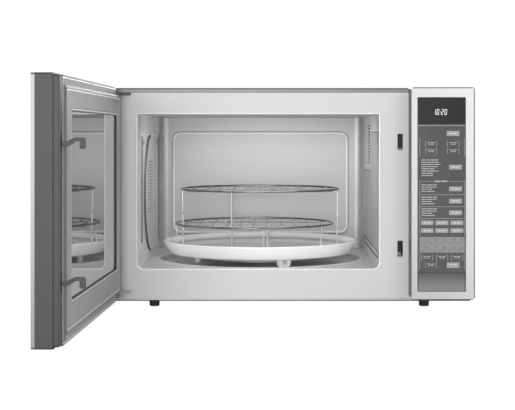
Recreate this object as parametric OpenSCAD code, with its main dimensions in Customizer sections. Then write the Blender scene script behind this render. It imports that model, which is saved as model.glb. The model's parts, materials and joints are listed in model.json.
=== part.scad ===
// Countertop convection microwave oven with a side-hinged door, drawn with its door open.
// Millimetres. The modules are drawn about the cabinet: x across from its middle, y back from
// the front flange, z up from the foot soles. placed() then moves everything so that the part's
// origin is the middle of the whole part's footprint, on the surface that it stands on.

/* [Cabinet] */
// Width over the outer case
case_w = 625.5; // [620:0.5:632]
// Height of the outer case above the foot soles
case_h = 377.8; // [376:0.1:384]
// Depth from the front flange to the rear panel's outer face
case_d = 456; // [452:1:480]
// Height of the feet
foot_h = 13.1; // [11:0.1:14]
// Thickness of the sheet steel
sheet = 1; // [0.8:0.1:1.2]
// Thickness of the front flange plate
flange_t = 1.2; // [1:0.1:1.5]

/* [Cavity] */
// Inside width of the oven cavity
cavity_w = 415.5; // [410:0.5:420]
// Inside height of the oven cavity
cavity_h = 265.5; // [262:0.5:268]
// Inside depth of the oven cavity
cavity_d = 408.4; // [405:0.2:412]
// Middle of the cavity, left of the cabinet's middle
cavity_x = -53.5; // [-56:0.5:-52]
// Height of the cavity floor above the foot soles
cavity_z = 67.9; // [66:0.1:70]
// Radius of the round well in the floor
well_r = 190.5; // [186:0.5:194]
// Depth of the round well
well_depth = 11; // [10:0.5:12]

/* [Door] */
// Width from the hinge axis to the free edge
door_reach = 507.8; // [506:0.1:508.5]
// Height of the door
door_h = 364; // [362:0.5:366]
// Height of the door's lower edge above the foot soles
door_z = 16; // [15:0.5:17]
// Thickness of the door
door_t = 41.5; // [40:0.5:43]
// Angle at which the door stands open
door_open = 91.57; // [85:0.01:95]

/* [Turntable] */
// Radius over the tray's rim
tray_r = 180.7; // [176:0.1:183]
// Distance from the cavity's middle to the rollers
roller_track = 120; // [115:1:124]
// Radius of the rollers
roller_r = 12.7; // [12.4:0.1:12.8]
// Radius of the wire racks
rack_r = 149.5; // [148:0.5:150]
// Height of the high rack's grid above the foot soles
high_rack_z = 197; // [185:1:205]
// Height of the low rack's grid above the foot soles
low_rack_z = 132.5; // [125:0.5:140]

/* [Control panel] */
// Width of the control panel
panel_w = 107.7; // [106:0.1:108]
// Height of the control panel
panel_h = 358.8; // [356:0.1:360]

/* [Hidden] */
$fn = 64;
eps = 0.01;

// Cabinet
case_l = -case_w / 2;
case_r = case_w / 2;
rear_y = case_d - sheet;
flange_top = case_h - 7;
flange_bottom = foot_h + 3.2;
flange_edge = case_r - 3;
base_top = foot_h + flange_t;

// Cavity
cav_l = cavity_x - cavity_w / 2;
cav_r = cavity_x + cavity_w / 2;
cav_b = cavity_z;
cav_t = cavity_z + cavity_h;
spin_y = 205;
well_z = cavity_z - well_depth;
corner_r = 9.5;
bay_l = cav_r + sheet;

// Convection unit, on the left wall's outside
conv_y = 205;
conv_z = 217;
conv_deep = 32;
conv_l = cav_l - sheet - conv_deep;
conv_fan_r = 72;

// Door, drawn closed and then swung open about the hinge axis
hinge_x = case_l + 7.95;
hinge_y = -18;
door_l = hinge_x - 7.2;
door_r = hinge_x + door_reach;
door_top = door_z + door_h;
door_in = -1;
door_out = door_in - door_t;
skin_y = door_out + 5;
tier_y = skin_y + 24;
edge_y = tier_y + 7;
border_y = edge_y + 2.5;
window_l = cav_l - 1.5;
window_r = cav_r - 18;
window_b = cav_b + 5;
window_t = cav_t - 2.5;
tab_z = 366.5;
tab_t = 2.5;
tab_lip = 8;
pin_r = 4;
pin_len = 12;
run_gap = 0.05;
pocket_r = 38;

// Latch
hook_x = hinge_x + 495.6;
hook_t = 4;
hook_pitch = 184;
hook_z = 279.2;
slot_w = 9;
slot_mid_z = 286;
slot_h = 27.6;

// Turntable
roller_z = well_z + roller_r + 0.3;
tray_under = roller_z + roller_r + 0.4;
tray_floor = tray_under + 8.5;
tray_rim = tray_floor + 11;
tray_foot = tray_under - 5;
axle_r = 3;
roller_angle = 291.5;
wire_r = 2;
rack_pitch = 25;
low_rack_x = cavity_x - 11;

// Control panel
panel_l = door_r + 2.3;
panel_r = panel_l + panel_w;
panel_b = 19.7;
panel_t = panel_b + panel_h;
glass_l = panel_l + 10.7;
glass_r = panel_r - 15.2;
glass_b = panel_b + 46.2;
glass_t = panel_t - 16.8;
button_b = panel_b + 13.2;
button_t = glass_b - 0.4;
lever_y = 8;
lever_z = 72;
stem_x = (glass_l + glass_r) / 2;
stem_z = 52;

// Cooling fan
fan_x = 238;
fan_z = 250;
fan_r = 48;

// The whole part's box, door open, and its middle
sin_open = sin(door_open);
cos_open = cos(door_open);
gland_out = 8;
all_l = hinge_x + door_reach * cos_open + (door_out - hinge_y) * sin_open;
all_front = hinge_y - door_reach * sin_open + (border_y - hinge_y) * cos_open;
frame_x = (all_l + panel_r) / 2;
frame_y = (all_front + case_d + gland_out) / 2;

steel = "#c9cacb";
bright = "#dcdddd";
zinc = "#aeb0b2";
dark = "#57585a";
black = "#2a2a2b";
white = "#f1f1ef";
smoke = "#8f9294";

module placed(tint) color(tint) translate([-frame_x, -frame_y, 0]) children();

module on_door(tint) placed(tint)
    translate([hinge_x, hinge_y, 0]) rotate([0, 0, -door_open])
        translate([-hinge_x, -hinge_y, 0]) children();

module block(x, y, z) translate([x[0], y[0], z[0]])
    cube([x[1] - x[0], y[1] - y[0], z[1] - z[0]]);

// A flat outline as a slab between two heights, two depths or two places across
module slab_z(z) translate([0, 0, z[0]]) linear_extrude(z[1] - z[0]) children();
module slab_y(y) translate([0, y[1], 0]) rotate([90, 0, 0]) linear_extrude(y[1] - y[0]) children();
module slab_x(x) translate([x[0], 0, 0]) rotate([90, 0, 90]) linear_extrude(x[1] - x[0]) children();

module rounded(u, v, r) {
    translate([u[0] + r, v[0]]) square([u[1] - u[0] - 2 * r, v[1] - v[0]]);
    translate([u[0], v[0] + r]) square([u[1] - u[0], v[1] - v[0] - 2 * r]);
    for (cu = [u[0] + r, u[1] - r])
        for (cv = [v[0] + r, v[1] - r])
            translate([cu, cv]) circle(r);
}

module rod_x(x, y, z, r) translate([x[0], y, z]) rotate([0, 90, 0]) cylinder(h = x[1] - x[0], r = r);
module rod_y(y, x, z, r) translate([x, y[1], z]) rotate([90, 0, 0]) cylinder(h = y[1] - y[0], r = r);
module rod_z(z, x, y, r) translate([x, y, z[0]]) cylinder(h = z[1] - z[0], r = r);

// A coil spring of round wire along z
function spring_ring(t, coil_r, wire, turns, z, sides) = [
    for (k = [0 : sides - 1])
        let (a = 360 * k / sides, r = coil_r + wire * cos(a))
            [r * cos(360 * turns * t), r * sin(360 * turns * t),
                z[0] + wire + (z[1] - z[0] - 2 * wire) * t + wire * sin(a)]
];

module coil_spring(coil_r, wire, turns, z) {
    sides = 6;
    steps = turns * 16;
    points = [for (i = [0 : steps]) each spring_ring(i / steps, coil_r, wire, turns, z, sides)];
    walls = [
        for (i = [0 : steps - 1])
            for (k = [0 : sides - 1])
                [i * sides + k, (i + 1) * sides + k,
                    (i + 1) * sides + (k + 1) % sides, i * sides + (k + 1) % sides]
    ];
    first = [for (k = [0 : sides - 1]) k];
    last = [for (k = [sides - 1 : -1 : 0]) steps * sides + k];
    polyhedron(points, concat(walls, [first, last]));
}

// ---- Cabinet shell ----

module outer_case() placed(steel) difference() {
    block([case_l, case_r], [0, case_d], [foot_h, case_h]);
    block([case_l + sheet, case_r - sheet], [sheet, case_d + 1], [foot_h - 1, case_h - sheet]);
    block([-flange_edge, flange_edge], [-1, sheet + 1], [foot_h - 1, flange_top]);
    // Intake louvres, right side
    for (row = [0 : 11])
        block([case_r - 2, case_r + 1], [330, 420], [90 + 12 * row, 95 + 12 * row]);
    // Exhaust louvres, left side
    for (row = [0 : 5])
        block([case_l - 1, case_l + 2], [335, 425], [250 + 12 * row, 255 + 12 * row]);
}

module base_pan() placed(zinc) difference() {
    union() {
        block([case_l + sheet, case_r - sheet], [flange_t, rear_y], [foot_h, base_top]);
        block([-flange_edge, flange_edge], [0, flange_t], [foot_h, flange_bottom]);
    }
    for (row = [0 : 7])
        block([190, 290], [300 + 12 * row, 305 + 12 * row], [foot_h - 1, base_top + 1]);
}

screw_spots = [[-300, 30], [-300, 360], [300, 30], [300, 360], [0, 364], [-150, 24], [150, 24]];

module rear_panel() placed(zinc) difference() {
    block([case_l + sheet, case_r - sheet], [rear_y, case_d], [foot_h, case_h - sheet]);
    for (spot = screw_spots)
        rod_y([rear_y - 1, case_d + 1], spot[0], spot[1], 2);
    // Air slots behind the cooling fan, cut to its round
    intersection() {
        rod_y([rear_y - 1, case_d + 1], fan_x, fan_z, fan_r);
        for (row = [-4 : 4])
            block([fan_x - 60, fan_x + 60], [rear_y - 1, case_d + 1],
                [fan_z + 11 * row - 3, fan_z + 11 * row + 3]);
    }
    // Exhaust slots
    for (col = [0 : 9])
        block([-270 + 13 * col, -264 + 13 * col], [rear_y - 1, case_d + 1], [300, 340]);
    rod_y([rear_y - 1, case_d + 1], 262, 48, 9);
}

module feet() placed(black)
    for (x = [-235, 235])
        for (y = [30, 415])
            translate([x, y, 0]) cylinder(h = foot_h, r1 = 8.6, r2 = 9.4);

// The front flange is welded up flush from rails, stiles and bridges
module front_rails() placed(bright) difference() {
    for (z = [[flange_bottom, cav_b], [cav_t, flange_top]])
        block([-flange_edge, flange_edge], [0, flange_t], z);
    // Slots for the hinge tabs
    block([hinge_x - 5, hinge_x + 32.3], [-1, flange_t + 1], [tab_z - 0.3, flange_top + 1]);
    block([hinge_x - 5, hinge_x + 32.3], [-1, flange_t + 1],
        [door_z * 2 + door_h - tab_z - tab_t - tab_lip - 0.3, door_z * 2 + door_h - tab_z + 0.3]);
    // Window for the release button's stem
    block([stem_x - 12, stem_x + 12], [-1, flange_t + 1], [40, 62]);
}

module front_stiles() placed(bright) difference() {
    for (x = [[-flange_edge, cav_l], [cav_r, hook_x - slot_w / 2], [hook_x + slot_w / 2, flange_edge]])
        block(x, [0, flange_t], [cav_b, cav_t]);
    // Window for the control panel's wiring
    block([stem_x - 20, stem_x + 20], [-1, flange_t + 1], [120, 300]);
}

// The strip that the latch slots interrupt, and the gussets in the mouth's lower corners
module front_bridges() placed(bright) {
    slot_b = slot_mid_z - slot_h / 2;
    slot_t = slot_mid_z + slot_h / 2;
    for (z = [[cav_b, slot_b - hook_pitch], [slot_t - hook_pitch, slot_b], [slot_t, cav_t]])
        block([hook_x - slot_w / 2, hook_x + slot_w / 2], [0, flange_t], z);
    // Each gusset's left edge, and the middle of its round
    for (gusset = [[cav_l, cav_l + corner_r], [cav_r - corner_r, cav_r - corner_r]])
        slab_y([0, flange_t]) difference() {
            translate([gusset[0], cav_b]) square(corner_r);
            translate([gusset[1], cav_b + corner_r]) circle(corner_r);
        }
}

// ---- Cavity ----

module cavity_ceiling() placed(bright) difference() {
    block([cav_l - sheet, cav_r + sheet], [flange_t, cavity_d + sheet], [cav_t, cav_t + sheet]);
    for (x = [-75, -29, -18, 45, 55])
        rod_z([cav_t - 1, cav_t + 2], x, 120, 3);
}

module cavity_left_wall() placed(bright) difference() {
    block([cav_l - sheet, cav_l], [flange_t, cavity_d + sheet], [cav_b, cav_t]);
    // Return air grille in front of the fan
    for (row = [-4 : 4])
        for (col = [-4 : 4])
            if (row * row + col * col < 20)
                rod_x([cav_l - 2, cav_l + 1], conv_y + 9 * col, conv_z + 9 * row, 2.8);
    // Hot air outlets
    for (row = [0 : 14])
        rod_x([cav_l - 2, cav_l + 1], conv_y + 98, 122 + 13 * row, 3.2);
}

module cavity_right_wall() placed(bright) difference() {
    block([cav_r, cav_r + sheet], [flange_t, cavity_d + sheet], [cav_b, cav_t]);
    // Vent slots
    for (col = [0 : 11])
        for (row = [0, 1])
            block([cav_r - 1, cav_r + 2], [206 + 12.5 * col, 212 + 12.5 * col],
                [246 + 36 * row, 275 + 36 * row]);
    // Feed opening from the waveguide
    block([cav_r - 1, cav_r + 2], [100, 180], [130, 210]);
}

module cavity_back_wall() placed(bright)
    block([cav_l, cav_r], [cavity_d, cavity_d + sheet], [cav_b, cav_t]);

module cavity_floor() placed(bright) translate([cavity_x, spin_y, 0]) difference() {
    union() {
        difference() {
            translate([-cavity_x, -spin_y, 0])
                block([cav_l - sheet, cav_r + sheet], [flange_t, cavity_d + sheet],
                    [cav_b - sheet, cav_b]);
            rod_z([cav_b - 2, cav_b + 1], 0, 0, well_r + sheet / 2);
        }
        rod_z([well_z - sheet, cav_b], 0, 0, well_r + sheet);
    }
    rod_z([well_z, cav_b + 1], 0, 0, well_r);
    rod_z([well_z - 2, cav_b + 1], 0, 0, 9);
}

module waveguide_cover() placed("#b9babb")
    slab_x([cav_r - 1, cav_r]) {
        translate([20, 101.5]) square([321, 127.5]);
        translate([20, 229]) square([144, 73]);
    }

module waveguide() placed(zinc) difference() {
    block([bay_l, bay_l + 40], [96, 290], [126, 214]);
    block([bay_l - 1, bay_l + 38.8], [97.2, 288.8], [127.2, 212.8]);
    rod_x([bay_l + 38, bay_l + 41], 245, 170, 10);
}

module magnetron() placed(zinc) {
    x = bay_l + 40;
    block([x, x + 2], [200, 290], [130, 210]);
    difference() {
        block([x + 2, x + 72], [205, 285], [132, 208]);
        block([x + 4, x + 70], [204, 286], [134, 206]);
    }
    rod_x([x + 2, x + 72], 245, 170, 19);
    for (fin = [0 : 6])
        block([x + 10 + 8 * fin, x + 11 + 8 * fin], [207, 283], [134, 206]);
    rod_x([x - 22, x + 1], 245, 170, 8);
    block([x + 72, x + 92], [215, 275], [140, 200]);
}

// ---- Convection unit ----

module convection_housing() placed(zinc) difference() {
    block([conv_l, cav_l - sheet], [conv_y - 102, conv_y + 106], [conv_z - 100, conv_z + 100]);
    block([conv_l + sheet, cav_l], [conv_y - 101, conv_y + 105], [conv_z - 99, conv_z + 99]);
    rod_x([conv_l - 1, conv_l + 2], conv_y, conv_z, 6);
}

module convection_heater() placed(dark) translate([conv_l + 16, conv_y, conv_z])
    rotate([0, 90, 0]) rotate_extrude() translate([86, 0]) circle(3.5, $fn = 24);

module convection_motor() placed(zinc) {
    rod_x([case_l + sheet + 1.2, conv_l], conv_y, conv_z, 30);
    rod_x([conv_l - eps, conv_l + 18], conv_y, conv_z, 3);
}

module convection_fan() placed(steel) translate([0, conv_y, conv_z]) difference() {
    union() {
        rod_x([conv_l + 7, conv_l + 8.2], 0, 0, conv_fan_r);
        rod_x([conv_l + 7, conv_l + 16], 0, 0, 10);
        for (blade = [0 : 11])
            rotate([30 * blade, 0, 0])
                block([conv_l + 7, conv_l + 26], [38, conv_fan_r - 2], [-0.6, 0.6]);
    }
    rod_x([conv_l + 6, conv_l + 17], 0, 0, 3 + run_gap);
}

// ---- Hinges ----

// One hinge bracket: a foot behind the flange, a tab through it, an upturned lip and the pin
module hinge_bracket() {
    slab_z([tab_z, tab_z + tab_t])
        polygon([[hinge_x - 4.5, flange_t], [hinge_x - 4.5, hinge_y - 4.5],
            [hinge_x + 4.5, hinge_y - 4.5], [hinge_x + 14, hinge_y + 6],
            [hinge_x + 32, door_in - 4], [hinge_x + 32, flange_t]]);
    block([hinge_x - 4.5, hinge_x + 32], [flange_t, flange_t + 2], [tab_z - 28, tab_z + tab_t]);
    block([hinge_x + 14, hinge_x + 32], [-2, flange_t], [tab_z + tab_t, flange_top - eps]);
    rod_z([tab_z - pin_len, tab_z + tab_t / 2], hinge_x, hinge_y, pin_r);
}

module mirror_on_door_middle() {
    middle = door_z + door_h / 2;
    translate([0, 0, middle]) mirror([0, 0, 1]) translate([0, 0, -middle]) children();
}

module hinge_upper() placed(zinc) hinge_bracket();

module hinge_lower() placed(zinc) mirror_on_door_middle() hinge_bracket();

// The space that a hinge tab needs inside the swinging door
module hinge_pocket() intersection() {
    rod_z([tab_z - 0.7, door_top - 1.5], hinge_x, hinge_y, pocket_r);
    block([door_l - 1, hinge_x + 60], [hinge_y - 13, 5], [tab_z - 1, door_top]);
}

// ---- Door ----

module door_skin() on_door(steel) difference() {
    slab_y([door_out, skin_y]) rounded([door_l, door_r], [door_z, door_top], 3);
    slab_y([door_out + 1.2, skin_y + 1])
        rounded([door_l + 1.2, door_r - 1.2], [door_z + 1.2, door_top - 1.2], 2);
    slab_y([door_out - 1, skin_y]) rounded([window_l + 12, window_r], [window_b + 8, window_t - 8], 8);
}

module door_front_glass() on_door(black)
    slab_y([door_out + 1.2, skin_y])
        rounded([window_l, window_r + 12], [window_b - 4, window_t + 4], 4);

// A dark moulding: an outer tier, a narrower inner tier, the hinge blocks and the latch channel
module door_frame() on_door(dark) difference() {
    union() {
        slab_y([skin_y, tier_y]) rounded([door_l, door_r], [door_z, door_top], 3);
        slab_y([tier_y, edge_y]) rounded([door_l + 2.5, door_r - 3], [door_z + 2.5, door_top - 2.5], 3);
        block([hook_x - 5, door_r - 4], [edge_y - eps, border_y - 0.5], [door_z + 4, door_top - 4]);
    }
    // Window through the whole moulding
    slab_y([door_out, 0]) rounded([window_l + 6, window_r + 6], [window_b + 2, window_t - 2], 6);
    // Hollow between the window's rim and the outer walls
    difference() {
        block([door_l + 22, hook_x - 12], [skin_y + 3, 1], [door_z + 6, door_top - 6]);
        block([window_l, window_r + 12], [skin_y, 2], [window_b - 4, window_t + 4]);
    }
    // Channel for the latch arm, and its two slots
    block([hook_x - 6, hook_x + 6], [skin_y + 8, tier_y + 3], [60, 352]);
    for (k = [0, 1])
        block([hook_x - hook_t / 2 - 1, hook_x + hook_t / 2 + 1], [tier_y, 1],
            [hook_z - 5 - hook_pitch * k, hook_z + 22 - hook_pitch * k]);
    hinge_pocket();
    mirror_on_door_middle() hinge_pocket();
    rod_z([tab_z - 20, tab_z + 1], hinge_x, hinge_y, 6.5);
    mirror_on_door_middle() rod_z([tab_z - 20, tab_z + 1], hinge_x, hinge_y, 6.5);
}

module hinge_bush() difference() {
    rod_z([tab_z - 18, tab_z - 0.7], hinge_x, hinge_y, 6.48);
    rod_z([tab_z - 19, tab_z], hinge_x, hinge_y, pin_r + run_gap);
}

module hinge_bushes() on_door(white) {
    hinge_bush();
    mirror_on_door_middle() hinge_bush();
}

module door_screen() on_door(zinc) difference() {
    slab_y([-6.4, -5.6]) rounded([window_l - 1, window_r + 11], [window_b - 3, window_t + 3], 6);
    for (col = [0 : 7])
        for (row = [0 : 4])
            rod_y([-8, -4], window_l + 35 + 46 * col, window_b + 28 + 50 * row, 3);
}

module door_inner_panel() on_door(steel) difference() {
    union() {
        block([door_l + 2.5, hook_x - 5.3], [edge_y, border_y], [door_z + 1.5, door_top - 2.6]);
        slab_y([border_y, door_in])
            rounded([hinge_x + 6, hook_x - 17], [door_z + 14.5, door_top - 15.5], 2);
    }
    block([door_l + 3.5, hook_x - 6.3], [edge_y - 1, border_y - 1], [door_z + 2.5, door_top - 3.6]);
    slab_y([edge_y, door_in - 1]) rounded([hinge_x + 7, hook_x - 18],
        [door_z + 15.5, door_top - 16.5], 1.5);
    slab_y([edge_y, 1]) rounded([window_l, window_r], [window_b, window_t], 4);
    hinge_pocket();
    mirror_on_door_middle() hinge_pocket();
}

module door_inner_glass() on_door(smoke)
    slab_y([-5.5, -2.1]) rounded([window_l - 2, window_r + 5], [window_b - 4, window_t + 4], 4);

// ---- Latch ----

// Outline of one hook, along y and z, its root in the latch channel
module hook_outline() {
    root = hook_z + 3.6;
    polygon([[-26, root - 3], [border_y, root], [4, root], [15, root + 6.5], [20, root + 6.5],
        [20, hook_z + 2], [22, hook_z], [26, hook_z], [28, hook_z + 2], [28, root + 9.7],
        [25, root + 11.7], [14, root + 11.7], [3, root + 6.2], [border_y, root + 6.2],
        [-26, root + 6.2]]);
}

module latch_arm() on_door(dark) {
    block([hook_x - 4, hook_x + 4], [-27, -19], [72, 320]);
    for (k = [0, 1])
        slab_x([hook_x - hook_t / 2, hook_x + hook_t / 2])
            translate([0, -hook_pitch * k]) hook_outline();
}

module latch_spring() on_door(zinc)
    translate([hook_x, -23, 0]) coil_spring(3, 0.5, 6, [320, 352]);

module latch_body() placed(dark) difference() {
    union() {
        block([hook_x - 9, hook_x + 13], [flange_t, 44], [78, 312]);
        for (x = [hook_x - 9, hook_x + 8])
            block([x, x + 4], [flange_t, 20], [62, 79]);
    }
    for (k = [0, 1])
        block([hook_x - 5.6, hook_x + 5.6], [0, 33], [262 - hook_pitch * k, 304 - hook_pitch * k]);
    block([hook_x - 5.6, hook_x + 14], [6, 45], [132, 248]);
    rod_x([hook_x - 10, hook_x + 14], lever_y, lever_z, 3.5 + run_gap);
    block([hook_x - 5.6, hook_x + 5.6], [0, 33], [70, 100]);
}

module interlock_switches() placed(black)
    for (z = [136, 166, 220])
        block([hook_x - 4, hook_x + 12], [8, 36], [z, z + 16]);

// ---- Control panel ----

module control_bezel() placed(steel) difference() {
    slab_y([door_out, 0]) rounded([panel_l, panel_r], [panel_b, panel_t], 5);
    slab_y([door_out + 3.5, 1]) rounded([panel_l + 2.5, panel_r - 2.5], [panel_b + 2.5, panel_t - 2.5], 3);
    slab_y([door_out - 1, door_out + 4])
        rounded([glass_l, glass_r], [button_b, glass_t], 2);
}

module control_glass() placed(dark)
    slab_y([door_out + 0.8, door_out + 4])
        rounded([glass_l + 0.2, glass_r - 0.2], [glass_b, glass_t - 0.2], 1.5);

module display_module() placed(black)
    block([glass_l + 6, glass_r - 6], [door_out + 4, door_out + 14], [glass_t - 44, glass_t - 3]);

module control_board() placed("#5b6e5f") {
    block([glass_l - 4, glass_r + 2], [-27, -25.4], [button_t + 4, glass_t]);
    block([glass_l + 4, glass_l + 34], [-25.4, -4], [210, 240]);
    for (z = [90, 115, 140])
        block([glass_l + 8, glass_l + 26], [-25.4, -10], [z, z + 15]);
    rod_y([-25.4, -14], glass_r - 18, 160, 9);
    block([glass_l + 6, glass_r - 6], [door_out + 14, -27], [glass_t - 30, glass_t - 16]);
}

module open_button() placed(smoke) {
    difference() {
        slab_y([door_out + 0.5, door_out + 12])
            rounded([glass_l + 0.4, glass_r - 0.4], [button_b + 0.4, button_t], 2);
        slab_y([door_out + 3, door_out + 13])
            rounded([glass_l + 2.4, glass_r - 2.4], [button_b + 2.4, button_t - 2], 1);
    }
    block([stem_x - 4, stem_x + 4], [door_out + 2.9, lever_y - 3.9], [stem_z - 2, stem_z + 2]);
}

module button_spring() placed(zinc)
    translate([glass_l + 16, 0, stem_z]) rotate([-90, 0, 0])
        coil_spring(4, 0.5, 6, [door_out + 3, -1]);

module open_lever() placed(white) {
    rod_x([hook_x - 9, stem_x + 8], lever_y, lever_z, 3.5);
    block([stem_x - 5, stem_x + 5], [lever_y - 3.3, lever_y], [44, lever_z]);
    block([hook_x - 2.4, hook_x + 2.4], [lever_y, lever_y + 18], [lever_z - 2, lever_z + 3]);
    block([hook_x - 2.4, hook_x + 2.4], [lever_y + 12, lever_y + 18],
        [lever_z, hook_z - hook_pitch - 0.7]);
}

// ---- Right bay ----

module hv_transformer() placed(zinc) difference() {
    union() {
        block([214, 290], [70, 150], [base_top, base_top + 52]);
        block([222, 282], [56, 164], [base_top + 12, base_top + 40]);
    }
    for (x = [218, 286])
        for (y = [75, 145])
            rod_z([base_top - 1, base_top + 60], x, y, 2.2);
}

module hv_capacitor() placed(bright) {
    slab_z([base_top, base_top + 90]) rounded([170, 200], [340, 392], 14.5);
    for (y = [355, 377])
        block([184, 186], [y - 3, y + 3], [base_top + 90, base_top + 100]);
}

module hv_diode() placed(black) {
    rod_y([300, 322], 180, base_top + 5, 4);
    rod_y([288, 334], 180, base_top + 5, 1);
}

module fan_motor() placed(zinc) {
    difference() {
        block([fan_x - 32, fan_x + 32], [385, 405], [fan_z - 30, fan_z + 30]);
        block([fan_x - 24, fan_x + 24], [384, 406], [fan_z + 8, fan_z + 22]);
    }
    rod_y([378, 412], fan_x, fan_z, 8);
    rod_y([412 - eps, 436], fan_x, fan_z, 2);
}

module cooling_fan() placed(dark) translate([fan_x, 0, fan_z]) difference() {
    union() {
        rod_y([418, 438], 0, 0, 12);
        for (blade = [0 : 4])
            rotate([0, 72 * blade, 0]) translate([10, 428, 0]) rotate([32, 0, 0])
                block([0, fan_r - 13], [-9, 9], [-0.9, 0.9]);
    }
    rod_y([417, 436.5], 0, 0, 2 + run_gap);
}

module fan_shroud() placed(dark) difference() {
    union() {
        block([fan_x - 60, fan_x + 60], [442, rear_y], [fan_z - 60, fan_z + 60]);
        rod_y([414, rear_y], fan_x, fan_z, fan_r + 6);
        for (x = [fan_x - 40, fan_x + 34])
            block([x, x + 6], [405, 443], [fan_z - 30, fan_z + 30]);
    }
    rod_y([404, rear_y + 1], fan_x, fan_z, fan_r + 3);
}

module filter_board() placed("#5b6e5f") {
    block([190, 290], [330, 410], [340, 341.6]);
    block([200, 225], [345, 370], [341.6, 366]);
    rod_z([341.6, 362], 262, 372, 13);
    for (y = [338, 398])
        block([232, 250], [y, y + 6], [341.6, 352]);
}

module oven_lamp() placed(white) {
    block([bay_l, bay_l + 3], [300, 345], [244, 316]);
    rod_x([bay_l + 3, bay_l + 20], 322, 280, 13);
    rod_x([bay_l + 20, bay_l + 44], 322, 280, 10);
}

module turntable_motor() placed(zinc) translate([cavity_x, spin_y, 0]) difference() {
    union() {
        rod_z([26, 46], 0, 0, 25);
        rod_z([46, 50], 0, 0, 9);
        block([-34, 34], [-6, 6], [44, 46]);
        for (x = [-34, 28])
            block([x, x + 6], [-6, 6], [44, well_z - sheet]);
    }
    rod_z([34, 51], 0, 0, 3.5 + run_gap);
}

module thermal_cutouts() placed(white) {
    rod_z([cav_t + sheet, cav_t + sheet + 9], -200, 200, 8);
    rod_z([cav_t + sheet, cav_t + sheet + 9], 40, 300, 8);
    rod_z([214, 223], bay_l + 20, 150, 8);
}

module cord_gland() placed(black) difference() {
    union() {
        rod_y([case_d, case_d + gland_out], 262, 48, 12);
        rod_y([rear_y - 2, case_d + 1], 262, 48, 8.95);
        rod_y([rear_y - 5, rear_y], 262, 48, 10.5);
    }
    rod_y([rear_y - 6, case_d + gland_out + 1], 262, 48, 4.2);
}

module case_screws() placed(zinc)
    for (spot = screw_spots) {
        rod_y([case_d, case_d + 2.4], spot[0], spot[1], 4);
        rod_y([rear_y - 6, case_d + 1], spot[0], spot[1], 1.9);
    }

// ---- Turntable ----

module drive_coupler() placed(white) translate([cavity_x, spin_y, 0]) {
    rod_z([36, 52], 0, 0, 3.5);
    rod_z([51, tray_foot + 1], 0, 0, 7);
    for (lobe = [0 : 2])
        rotate([0, 0, 120 * lobe])
            block([0, 10], [-3.2, 3.2], [tray_foot - 6, tray_under + 1.4]);
    rod_z([tray_foot - 6, tray_under + 1.4], 0, 0, 6);
}

module tray() placed(white) translate([cavity_x, spin_y, 0]) rotate_extrude()
    polygon([[0, tray_floor], [tray_r - 18, tray_floor], [tray_r - 3.4, tray_rim],
        [tray_r, tray_rim], [tray_r, tray_rim - 2], [tray_r - 15, tray_foot],
        [tray_r - 31, tray_foot], [tray_r - 31, tray_under], [17, tray_under],
        [17, tray_foot + 1], [11, tray_foot + 1], [11, tray_under + 2], [0, tray_under + 2]]);

module roller_ring() placed("#e3e3e0") translate([cavity_x, spin_y, roller_z]) {
    difference() {
        rod_z([-3, 3], 0, 0, roller_track - 24);
        rod_z([-4, 4], 0, 0, roller_track - 32);
    }
    for (k = [0 : 2])
        rotate([0, 0, roller_angle + 120 * k]) {
            rod_x([roller_track - 26, roller_track - 4.3], 0, 0, 4.5);
            rod_x([roller_track - 5, roller_track + 5], 0, 0, axle_r);
            rod_x([roller_track + 4.3, roller_track + 5.5], 0, 0, 4.2);
        }
}

module roller(k) placed(white) translate([cavity_x, spin_y, roller_z])
    rotate([0, 0, roller_angle + 120 * k]) difference() {
        rod_x([roller_track - 4, roller_track + 4], 0, 0, roller_r);
        rod_x([roller_track - 5, roller_track + 5], 0, 0, axle_r + run_gap);
    }

module roller_1() roller(0);
module roller_2() roller(1);
module roller_3() roller(2);

// A wire rack: a ring, wires from front to back, two cross wires under them and its legs
module wire_rack(x, z, leg_angles, leg_ring) placed(smoke) translate([x, spin_y, 0]) {
    wire_w = 3;
    difference() {
        rod_z([z - wire_r, z + wire_r], 0, 0, rack_r);
        rod_z([z - wire_r - 1, z + wire_r + 1], 0, 0, rack_r - 2 * wire_r + 0.4);
    }
    for (wire = [-5 : 5])
        let (reach = sqrt(pow(rack_r - wire_r, 2) - pow(rack_pitch * wire, 2)))
            block([rack_pitch * wire - wire_w / 2, rack_pitch * wire + wire_w / 2], [-reach, reach],
                [z - wire_w / 2, z + wire_w / 2]);
    for (cross = [-62, 62])
        let (reach = sqrt(pow(rack_r - wire_r, 2) - pow(cross, 2)))
            block([-reach, reach], [cross - wire_w / 2, cross + wire_w / 2],
                [z - wire_w * 1.5, z - wire_w / 2]);
    for (angle = leg_angles)
        rotate([0, 0, angle])
            rod_z([tray_floor + 0.3, z], leg_ring, 0, 0.9 * wire_r);
}

module low_rack() wire_rack(low_rack_x, low_rack_z, [80, 183, 279, 328], rack_r - wire_r - 1.2);
module high_rack() wire_rack(cavity_x, high_rack_z, [109.4, 180, 250.6, 356], rack_r - wire_r - 1.5);

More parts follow.
